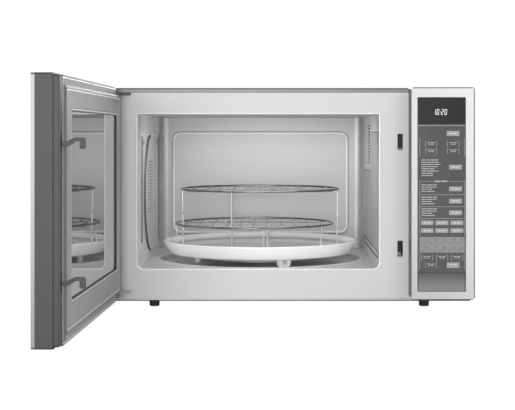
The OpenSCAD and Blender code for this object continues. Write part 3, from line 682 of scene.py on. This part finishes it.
def side_wall(x, outwards):
    """A side wall whose back edge curves into the back wall."""
    cove = 17
    inner, outer = [(x, 1.3)], [(x + 0.9 * outwards, 1.3)]
    for step in range(9):
        turn = math.radians(90 * step / 8)
        for path, r in ((inner, cove), (outer, cove + 0.9)):
            path.append((x - outwards * (cove - r * math.cos(turn)), BACK - 0.3 - cove + r * math.sin(turn)))
    return plate("z", FLOOR + 0.1, CEILING - 0.1, [inner + outer[::-1]], 0.05)


def bead(x, inwards, steps, outline):
    """A raised bead on a side wall: an outline of y and z, and (offset, height) steps."""
    loops = [[(x + inwards * height, y, z) for y, z in grown(*outline, offset)]
             for offset, height in steps]
    return terraces(loops, close=True)


BEAD = [(3.5, -0.4), (3, 0.1), (1.6, 1.2), (0, 1.7), (-1.6, 1.2), (-3, 0.1), (-3.5, -0.4)]
grille = [block((LEFT - 3, LEFT + 3), (y, y + 25), (152 + 5.9 * row, 155 + 5.9 * row), 0.6)
          for y in (180, 209, 238) for row in range(17)]
outlets = [block((LEFT - 3, LEFT + 3), (299, 318), (112 + 7.4 * row, 115.4 + 7.4 * row), 0.6)
           for row in range(28)]
left_wall = merged(cut(side_wall(LEFT, -1), *grille, *outlets),
                   bead(LEFT, 1, BEAD, (55, 369, 84, 300, 8)))
piece("left_liner", left_wall, "cabinet", LINER, ["cavity_left_wall"])
# Painted shade: dark ribs along the wall's pressed arc and beads stand in for the shade along them.
arc = [(LEFT + 0.2, 212 + 108 * math.cos(math.radians(turn)), 190 + 108 * math.sin(math.radians(turn)))
       for turn in range(100, 261, 5)]
ribs = [wire(arc, 3.2)]
for y, low, high in ((55, 108, 296), (369, 84, 300)):
    ribs.append(wire([(LEFT + 0.1, y, low), (LEFT + 0.1, y, high)], 2.5))
piece("left_liner_shade_ribs", merged(*ribs), "cabinet", SHADED_STEEL)
# Painted shade: black sheets just behind the grille and outlet holes stand in for the shade inside them.
vent_shade_sheets = merged(block((LEFT - 2.6, LEFT - 1.2), (174, 270), (146, 258), 0.3),
               block((LEFT - 2.6, LEFT - 1.2), (297, 320), (104, 320), 0.3))
piece("left_vent_shade_sheets", vent_shade_sheets, "cabinet", BLACK)
for name, y in (("front_clip", 86), ("back_clip", 337)):
    clip = merged(block((LEFT + 0.2, LEFT + 1.4), (y - 6, y + 6), (279, 290), 0.5),
                  lathe([(0, 0), (2.6, 0), (2.4, 1), (1.4, 1.7), (0, 1.9)], LEFT + 1.3, y, 284.5, "x", 20))
    piece(name, clip, "cabinet", ZINC)

vents = [block((RIGHT - 3, RIGHT + 3), (y, y + 56), (243 + 5.4 * row, 246.1 + 5.4 * row), 0.8)
         for y in (218, 290) for row in range(14)]
feed = block((RIGHT - 3, RIGHT + 3), (100, 180), (130, 210))
piece("right_liner", cut(side_wall(RIGHT, 1), *vents, feed), "cabinet", LINER,
      ["cavity_right_wall"])
# Painted shade: the right wall's bead is given the dark steel for the shade along it.
piece("right_liner_ridge", bead(RIGHT, -1, [(o * 0.6, h * 0.6) for o, h in BEAD], (12, 372, 84, 95, 5)),
      "cabinet", SHADED_STEEL)
# Painted shade: a black sheet behind the vent slots stands in for the shade inside them.
piece("right_vent_shade_sheets", block((RIGHT + 1.2, RIGHT + 2.6), (214, 350), (238, 320), 0.3), "cabinet",
      BLACK)

cover_edge = [(19, 101.5), (341, 101.5), (341, 229), (164, 229), (164, 302), (19, 302)]
cover = plate("x", RIGHT - 1, RIGHT - 0.1, [cover_edge], 0.25)
piece("feed_cover", cover, "cabinet", MICA, ["waveguide_cover"])
# Painted shade: a dark rim round the feed cover stands for the shade at its edge.
rim_edge = [(17.4, 99.9), (342.6, 99.9), (342.6, 230.6), (165.6, 230.6), (165.6, 303.6), (17.4, 303.6)]
piece("feed_cover_rim", plate("x", RIGHT - 0.5, RIGHT - 0.05, [rim_edge, cover_edge], 0.1), "cabinet",
      SHADED_STEEL)

EMBOSS = (-236, 124, 97, 305, 17)
press = [((LEFT + 0.5, RIGHT - 0.5, FLOOR + 0.2, CEILING - 0.2, 0.2), 0, 0),
         (EMBOSS, 1, 0), (EMBOSS, 0, -0.3), (EMBOSS, -1.6, -1.7), (EMBOSS, -2.6, -2.2),
         (EMBOSS, -3.4, -2.3)]
back_wall = stamped([(grown(*shape, out), BACK + depth) for shape, out, depth in press], 0.8)
piece("back_liner", back_wall, "cabinet", LINER_BACK, ["cavity_back_wall"])
# Painted highlight: a bright band round the emboss's bevel stands for the light it catches.
crease = terraces([facing(grown(*EMBOSS, out), BACK + depth) for out, depth in
                   [(-1.2, -1.2), (-1.6, -2.6), (-2.4, -3), (-4.6, -3), (-5.4, -2.2)]], close=True)
piece("back_liner_highlight", crease, "cabinet", PAINTED_HIGHLIGHT)

refinish("cavity_ceiling", LINER_TOP, 0.2)
floor = plate("z", FLOOR - 1, FLOOR, [
    rounded(LEFT - 0.8, RIGHT + 0.8, 1.3, BACK + 0.8, 1),
    circle(SPIN_X, SPIN_Y, 189.5, 96)], 0.1)
well = lathe([(190, FLOOR), (188.3, FLOOR - 0.5), (187.4, FLOOR - 1.8), (184.8, FLOOR - 9),
              (183.2, FLOOR - 10.6), (181, FLOOR - 11), (60, FLOOR - 11), (58, FLOOR - 10.4),
              (12, FLOOR - 10.4), (9, FLOOR - 11), (9, FLOOR - 12), (183.6, FLOOR - 12),
              (186.2, FLOOR - 10.4), (189, FLOOR - 1), (190, FLOOR - 1)], SPIN_X, SPIN_Y, steps=120)
piece("floor_liner", merged(floor, well), "cabinet", LINER_FLOOR, ["cavity_floor"])
# Painted highlight: a bright ring at the well's edge stands for the light it catches.
well_edge = lathe([(187.6, FLOOR - 0.9), (188.6, FLOOR + 0.25), (191.4, FLOOR + 0.25), (192.2, FLOOR - 0.2),
                   (189, FLOOR - 1)], SPIN_X, SPIN_Y, steps=120)
piece("floor_well_highlight", well_edge, "cabinet", PAINTED_HIGHLIGHT)

# ---- Turntable ----

tray = lathe([
    (0, 91.5), (155, 91.5), (161, 91.9), (166, 93.6), (172, 97.6), (176.2, 100.9), (177.4, 101.9),
    (178.6, 102.45), (179.9, 102.2), (180.6, 101.3), (180.6, 100.2), (179.6, 97.6), (176.4, 91.4),
    (172.4, 85.2), (168.5, 80.4), (166.6, 78.6), (165, 78), (152, 78), (150.4, 78.5),
    (149.7, 79.8), (149.7, 82.2), (149, 82.9), (18.4, 83), (17.2, 82.4), (17, 79.8), (16, 79),
    (12, 79), (11, 79.8), (11, 84.4), (10.2, 85), (0, 85)], SPIN_X, SPIN_Y, steps=144)
piece("glass_tray", tray, "tray", GLAZE, ["tray"], limit=60)
refinish("drive_coupler", WHITE, 0.5)

ROLLER_Z = 69.9
hub = lathe([(88.2, -2.6), (95.6, -2.6), (96, -2.2), (96, 2.2), (95.6, 2.6), (88.2, 2.6),
             (87.8, 2.2), (87.8, -2.2)], SPIN_X, SPIN_Y, ROLLER_Z, steps=96)
ring_parts = [hub]
ARM = [(0, 93), (4.3, 93), (4.5, 94), (4.5, 115), (4.1, 115.6), (3, 115.7), (3, 124.3),
       (4.1, 124.3), (4.2, 124.6), (4.1, 125.4), (3.4, 125.5), (0, 125.5)]
TREAD = [(3.1, -4), (4.6, -4), (5, -3.4), (5.6, -3.2), (9.6, -3.2), (10.2, -3.6), (10.8, -4),
         (12, -4), (12.6, -3.4), (12.7, -2.4), (12.7, 2.4), (12.6, 3.4), (12, 4), (10.8, 4),
         (10.2, 3.6), (9.6, 3.2), (5.6, 3.2), (5, 3.4), (4.6, 4), (3.1, 4)]
for k in range(3):
    spoke = Matrix.Translation((SPIN_X, SPIN_Y, ROLLER_Z)) @ Matrix.Rotation(
        math.radians(291.5 + 120 * k), 4, "Z")
    arm = lathe(ARM, steps=28)
    arm.transform(spoke @ AXES["x"])
    ring_parts.append(arm)
    tread = lathe(TREAD, steps=56)
    tread.transform(spoke @ Matrix.Translation((120, 0, 0)) @ AXES["x"])
    bmesh.ops.recalc_face_normals(tread, faces=tread.faces)
    piece(f"roller_tread_{k + 1}", tread, f"roller_{k + 1}", ROLLER, [f"roller_{k + 1}"])
carrier = merged(*ring_parts)
bmesh.ops.recalc_face_normals(carrier, faces=carrier.faces)
piece("roller_carrier", carrier, "ring", WHITE, ["roller_ring"])

# ---- Wire racks ----

RACK_R = 147.6


def rack(name, x, z, leg_turns):
    """A ring, wires from front to back, two cross wires and legs with flared feet."""
    top = z + 0.2
    hoop = [(u, v, top) for u, v in circle(x, SPIN_Y, RACK_R, 120)]
    parts = [wire(hoop, 1.8, True)]
    for row in range(-5, 6):
        reach = math.sqrt(RACK_R ** 2 - (25 * row) ** 2)
        at = x + 25 * row
        parts.append(wire([(at, SPIN_Y - reach, top), (at, SPIN_Y + reach, top)], 1.3, False, 2))
    for cross in (-62, 62):
        reach = math.sqrt(RACK_R ** 2 - cross ** 2)
        at, under = SPIN_Y + cross, top - 2.7
        parts.append(wire([(x - reach, at, under), (x + reach, at, under)], 1.4, False, 2))
    legs = []
    for turn in leg_turns:
        a = math.radians(turn)
        out = Vector((math.cos(a), math.sin(a), 0))
        along = Vector((-math.sin(a), math.cos(a), 0))
        foot = Vector((x, SPIN_Y, 93.3)) + out * (RACK_R - 3.4)
        head = Vector((x, SPIN_Y, z - 1.4)) + out * (RACK_R - 1.2)
        if turn == 279:
            path = bent([head - along * 3.4, foot - along * 3.4, foot + along * 3.4,
                         head + along * 3.4], 2.9)
        else:
            path = bent([head, foot + Vector((0, 0, 9)), foot + out * 1.5, foot + out * 1.5 - along * 3.4], 2)
        legs.append(wire(path, 1.45, False, 2))
    piece(name + "_wires", merged(*parts), name, CHROME, [name], limit=60)
    piece(name + "_legs", merged(*legs), name, LIT_LEG_CHROME, [name], limit=60)


rack("low_rack", (millimetres("low_rack")[0].x + millimetres("low_rack")[1].x) / 2, 132.5,
     [80, 183, 279, 328])
rack("high_rack", (millimetres("high_rack")[0].x + millimetres("high_rack")[1].x) / 2, 197,
     [113.3, 180, 250.6, 356])

# ---- Return springs ----

def coil(name, node, body, upright, travel):
    """A return spring, drawn shorter by the travel of the piece that it pushes."""
    low, high = (corner * 1000 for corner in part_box(node))
    middle = (low + high) / 2
    along = 2 if upright else 1
    thick, turns, steps = 0.5, 6, 24
    radius = min(high[k] - low[k] for k in range(3) if k != along) / 2 - thick
    start, end = low[along] + travel + thick, high[along] - thick
    path = []
    for step in range(steps * turns + 1):
        turn = 2 * math.pi * step / steps
        reach = start + (end - start) * step / (steps * turns)
        side = middle.x + radius * math.cos(turn)
        across = (middle.y if upright else middle.z) + radius * math.sin(turn)
        path.append((side, across, reach) if upright else (side, reach, across))
    piece(name, wire(path, thick, False, 2), body, SPRING, [node],
          Matrix.Scale(0.001, 4), limit=60)


coil("button_return_spring", "button_spring", "cabinet", False, 5.2)
coil("latch_return_spring", "latch_spring", "door", True, 4.8)

# ---- Door ----

DOOR_L, DOOR_B, DOOR_T = HINGE_X - 7.2, 16, 380
refinish("door_skin", STAINLESS, 0.7)
refinish("door_frame", DARK, 0.5)
refinish("door_front_glass", FRONT_GLASS, 0.4)
refinish("hinge_bushes", WHITE, 0.2)
# Painted shade: the upper hinge gets the dark steel and the lower one plain zinc, though the two are alike.
refinish("hinge_upper", SHADED_STEEL, 0.4)
refinish("hinge_lower", ZINC, 0.4)

BORDER = (DOOR_L + 2.5, HOOK_X - 5.3, DOOR_B + 1.5, DOOR_T - 2.6, 1.2)
RAISED = (HINGE_X + 6, HOOK_X - 17, DOOR_B + 14.5, DOOR_T - 15.5, 3)
PANE = (*WINDOW, 7)
fold = [(BORDER, 0, -6.4), (BORDER, 0, -4.6), (BORDER, -0.2, -4.2), (BORDER, -0.6, -4),
        (RAISED, 1.2, -4), (RAISED, 0.4, -3.7), (RAISED, -1.6, -1.5), (RAISED, -2.6, -1.1),
        (RAISED, -3.6, -1), (PANE, 1.4, -1), (PANE, 0.4, -1.2), (PANE, 0, -1.7), (PANE, 0, -3.7)]
turned = [(PANE, 0.7, -3.7), (PANE, 0.7, -2), (RAISED, -4, -1.9), (RAISED, 0, -4.7),
          (BORDER, -1.2, -4.9), (BORDER, -0.8, -6.4)]
panel = terraces([facing(grown(*shape, out), y) for shape, out, y in fold + turned], close=True)
pockets = [lathe([(0, low), (38, low), (38, high), (0, high)], HINGE_X, HINGE_Y, steps=48)
           for low, high in ((365.8, 378.5), (17.5, 30.2))]
spare_pockets = [pocket.copy() for pocket in pockets]
panel = cut(panel, *pockets)
piece("door_liner", panel, "door", DOOR_STEEL, ["door_inner_panel"], SWUNG)


def painted_line(shape, out, width, y):
    """A thin strip along an outline of the door's inner panel, drawn for painted shade and highlight lines.
    """
    return terraces([facing(grown(*shape, offset), depth) for offset, depth in
                     [(out, y - 0.3), (out - 0.15, y), (out - width + 0.15, y), (out - width, y - 0.3)]],
                    close=True)


# Painted shade and highlights: dark and bright strips along the panel's folds stand in for how light falls on
# them.
shade_lines = [painted_line(BORDER, -0.7, 1.1, -3.85), painted_line(RAISED, 1.6, 1.3, -3.85),
              painted_line(RAISED, -3.8, 0.8, -0.9), painted_line(PANE, 4.2, 1.2, -0.9)]
highlight_lines = [painted_line(RAISED, -4.8, 1.6, -0.9), painted_line(PANE, 2.9, 1.4, -0.9),
               painted_line(BORDER, -2.2, 1.6, -3.85)]
for name, mesh, finish in (("door_liner_painted_shade", merged(*shade_lines), SHADED_STEEL),
                           ("door_liner_painted_highlights", merged(*highlight_lines), PAINTED_HIGHLIGHT)):
    piece(name, cut(mesh, *[pocket.copy() for pocket in spare_pockets]), "door", finish,
          (), SWUNG)
gasket = terraces([facing(grown(*PANE, out), y) for out, y in
                   [(0.1, -4.6), (0.1, -1.8), (-0.7, -1.9), (-0.8, -4.6)]], close=True)
piece("window_gasket", gasket, "door", BLACK, (), SWUNG)
pane = plate("y", -5.3, -3.9, [grown(*PANE, 4)], 0.2)
piece("inner_pane", pane, "door", INNER_GLASS, ["door_inner_glass"], SWUNG)
screen = plate("y", -6.4, -5.7, [grown(*PANE, 3)], 0.1)
piece("window_screen", screen, "door", SCREEN, ["door_screen"], SWUNG)

root = HOOK_Z + 3.6
hook = [(-26, root - 3), (-4, root), (4, root), (9, root + 2.4), (15, root + 6.5), (19, root + 6.7),
        (20, root + 5.8), (20, HOOK_Z + 2), (20.6, HOOK_Z + 0.6), (22, HOOK_Z), (26, HOOK_Z),
        (27.4, HOOK_Z + 0.6), (28, HOOK_Z + 2), (28, root + 9.2), (27.2, root + 10.9),
        (25, root + 11.6), (14.6, root + 11.7), (9, root + 9.4), (3, root + 6.2), (-4, root + 6.2),
        (-26, root + 6.2)]
hooks = [plate("x", HOOK_X - 2, HOOK_X + 2, [[(y, z - drop) for y, z in hook]], 0.5)
         for drop in (0, HOOK_PITCH)]
bar = block((HOOK_X - 4, HOOK_X + 4), (-27, -19), (72, 320), 0.8)
piece("latch_hooks", merged(bar, *hooks), "latch", HOOK, ["latch_arm"], SWUNG)

# ---- Control panel ----

refinish("control_bezel", BEZEL, 0.8)
refinish("control_glass", PANEL_GLASS, 0.3)
refinish("display_module", BLACK, 0.4)
refinish("control_board", BOARD, 0.2)
refinish("open_button", BUTTON, 0.8)
refinish("open_lever", WHITE, 0.4)

PRINT_Y = GLASS_Y - 0.04


def inked(left, right, top, bottom):
    """A printed bar: millimetres from the glass's left and top edges."""
    return block((GLASS_L + left, GLASS_L + right), (PRINT_Y, PRINT_Y + 0.06),
                 (GLASS_T - bottom, GLASS_T - top))


def key(left, right, top, bottom, r=1.2):
    """A printed key with rounded corners."""
    return plate("y", PRINT_Y, PRINT_Y + 0.06, [
        rounded(GLASS_L + left, GLASS_L + right, GLASS_T - bottom, GLASS_T - top, r, 4)], 0.01)


def dashes(left, top, lengths, height=1.1, gap=1.0):
    """A row of short bars that stands for a word or two."""
    bars = []
    for length in lengths:
        bars.append(inked(left, left + length, top, top + height))
        left += length + gap
    return bars


def bracket(left, right, top, bottom):
    """The two corner brackets round a label, with the label's two lines of dashes."""
    thick = 0.5
    middle = (left + right) / 2
    parts = [inked(left, left + thick, top, bottom), inked(right - thick, right, top, bottom)]
    for y in (top, bottom - thick):
        parts.append(inked(left, left + 2, y, y + thick))
        parts.append(inked(right - 2, right, y, y + thick))
    parts += dashes(middle - 6.4, top + 2.2, (5.4, 6.2))
    parts += dashes(middle - 4.4, top + 5, (3.6, 4.2))
    return parts


SEGMENTS = {"0": "abcdef", "1": "bc", "2": "abged", "3": "abgcd", "4": "fgbc", "5": "afgcd",
            "6": "afgecd", "7": "abc", "8": "abcdefg", "9": "abcdfg"}


def digit(character, left, top, width, height, thick, lean=0.0):
    """One seven-segment figure."""
    middle = height / 2
    near, far = thick * 0.6, width - thick * 0.6
    upper = (thick * 0.5, middle - thick * 0.2)
    lower = (middle + thick * 0.2, height - thick * 0.5)
    bars = {"a": (near, far, 0, thick), "d": (near, far, height - thick, height),
            "g": (near, far, middle - thick / 2, middle + thick / 2),
            "f": (0, thick, *upper), "b": (width - thick, width, *upper),
            "e": (0, thick, *lower), "c": (width - thick, width, *lower)}
    parts = []
    for name in SEGMENTS[character]:
        x0, x1, y0, y1 = bars[name]
        bar = inked(left + x0, left + x1, top + y0, top + y1)
        for vert in bar.verts:
            vert.co.x += lean * (vert.co.z - (GLASS_T - top - height))
        parts.append(bar)
    return parts


darks = [key(0.6, 80.9, 0.4, 45.6, 1.5)]
lines = [inked(0.6, 80.9, 47.2, 47.9)]
keys = [key(49.3, 70.7, 56.9, 65.3)]
lines += [inked(x, x + 0.45, 69.6, 99.8) for x in (3.7, 78.9)]
for top, left, right in ((73.8, 13.2, 32.7), (73.8, 50.1, 70.4), (86.2, 13.2, 32.7), (86.2, 50.1, 70.4)):
    lines += bracket(left, right, top, top + 9)
MENU = ((9, 5, 12), (7, 14, 6), (12, 9, 9), (8, 7, 10), (13, 8), (9, 12, 5), (6, 13), (7, 5, 5))
for row, words in enumerate(MENU):
    lines += dashes(6.7, 105.2 + 3.75 * row, words, 1.3)
keys += [key(53.3, 75.1, 114, 121.9)]
for x in (3.5, 79.4):
    lines.append(inked(x, x + 0.45, 140, 235))
lines += [inked(3.5, 26.5, 141.8, 142.2), inked(53.2, 79.6, 141.8, 142.2)]
lines += dashes(28.3, 141, (10, 11.2), 1.9)
for top, key_top in ((147.4, 150.7), (168, 171.3), (187.9, 191.1)):
    for row, words in enumerate(((8, 9, 7), (6, 12, 5), (10, 7), (7, 9, 4))):
        lines += dashes(6.7, top + 3.7 * row, words, 1.3)
    keys.append(key(53.3, 75.1, key_top, key_top + 7.9))
lines += [inked(3.5, 79.8, y, y + 0.45) for y in (164.3, 184.6, 204.7)]
for top in (208.2, 221.4):
    for left, right in ((5.9, 26.8), (30.2, 52.1), (55.8, 77.4)):
        keys.append(key(left, right, top, top + 7.4))
pad = [key(3.5, 79.8, 236.2, 262.3, 1.2)]
pad_lines = []
for number in range(10):
    left = 3.5 + 15.26 * (number % 5)
    top = 236.2 + 13.05 * (number // 5)
    pad_lines += digit(str((number + 1) % 10), left + 9.6, top + 2.2, 3, 5, 0.75)
    pad_lines += dashes(left + 3, top + 9.4, (3.6, 2.6), 1)
    if number % 5:
        pad_lines.append(inked(left - 0.2, left + 0.2, top + 1.5, top + 11.5))
lines += [inked(x, x + 0.45, 263.8, 290.8) for x in (3.5, 79.4)]
for left, right in ((6.7, 26), (31.9, 51.3), (57, 76.9)):
    lines += bracket(left, right, 266, 275.4)
lines += bracket(13.2, 32.1, 278.9, 287.9)
keys.append(key(49.3, 70.7, 278.9, 288.3))
key_words = []
for left, right, top in ((49.3, 70.7, 56.9), (53.3, 75.1, 114), (53.3, 75.1, 150.7), (53.3, 75.1, 171.3),
                         (53.3, 75.1, 191.1), (49.3, 70.7, 278.9), *[
                             (left, right, top) for top in (208.2, 221.4)
                             for left, right in ((5.9, 26.8), (30.2, 52.1), (55.8, 77.4))]):
    middle = (left + right) / 2
    for bar in dashes(middle - 6, top + 3.3, (5.2, 5.8), 1.2):
        bar.transform(Matrix.Translation((0, -0.05, 0)))
        key_words.append(bar)
for bar in pad_lines:
    bar.transform(Matrix.Translation((0, -0.05, 0)))

clock = []
for character, left in (("1", 26.9), ("0", 32.3), ("2", 40), ("0", 45.6)):
    clock += digit(character, left, 20.2, 3.6, 9.4, 0.6, 0.06)
for dot in (23.4, 26.4):
    clock.append(inked(38.1, 38.8, dot, dot + 0.7))
for bar in clock:
    bar.transform(Matrix.Translation((0, -0.05, 0)))

piece("display_window", merged(*darks), "cabinet", DARK_PRINT)
piece("keypad_lines", merged(*lines), "cabinet", LABEL_PRINT)
piece("number_pad_figures", merged(*pad_lines), "cabinet", PAD_FIGURES)
piece("keypad_keys", merged(*keys), "cabinet", KEY_PRINT)
piece("keypad_key_words", merged(*key_words), "cabinet", WORD_PRINT)
piece("number_pad", merged(*pad), "cabinet", PAD_PRINT)
piece("clock_figures", merged(*clock), "cabinet", GLOW)

# ---- Inside the cabinet ----

for node, finish, edge in (
        ("waveguide", ZINC, 0.3), ("magnetron", ZINC, 0.2), ("convection_housing", ZINC, 0.3),
        ("convection_heater", SHEATH, 0), ("convection_motor", ZINC, 0.5),
        ("convection_fan", SPRING, 0.2), ("latch_body", DARK, 0.4), ("interlock_switches", BLACK, 0.5),
        ("hv_transformer", ZINC, 0.6), ("hv_capacitor", SPRING, 0.5), ("hv_diode", BLACK, 0.3),
        ("fan_motor", ZINC, 0.4), ("cooling_fan", GREY, 0.2), ("fan_shroud", DARK, 0.5),
        ("filter_board", BOARD, 0.2), ("oven_lamp", WHITE, 0.4), ("turntable_motor", ZINC, 0.5),
        ("thermal_cutouts", WHITE, 0.4)):
    refinish(node, finish, edge)
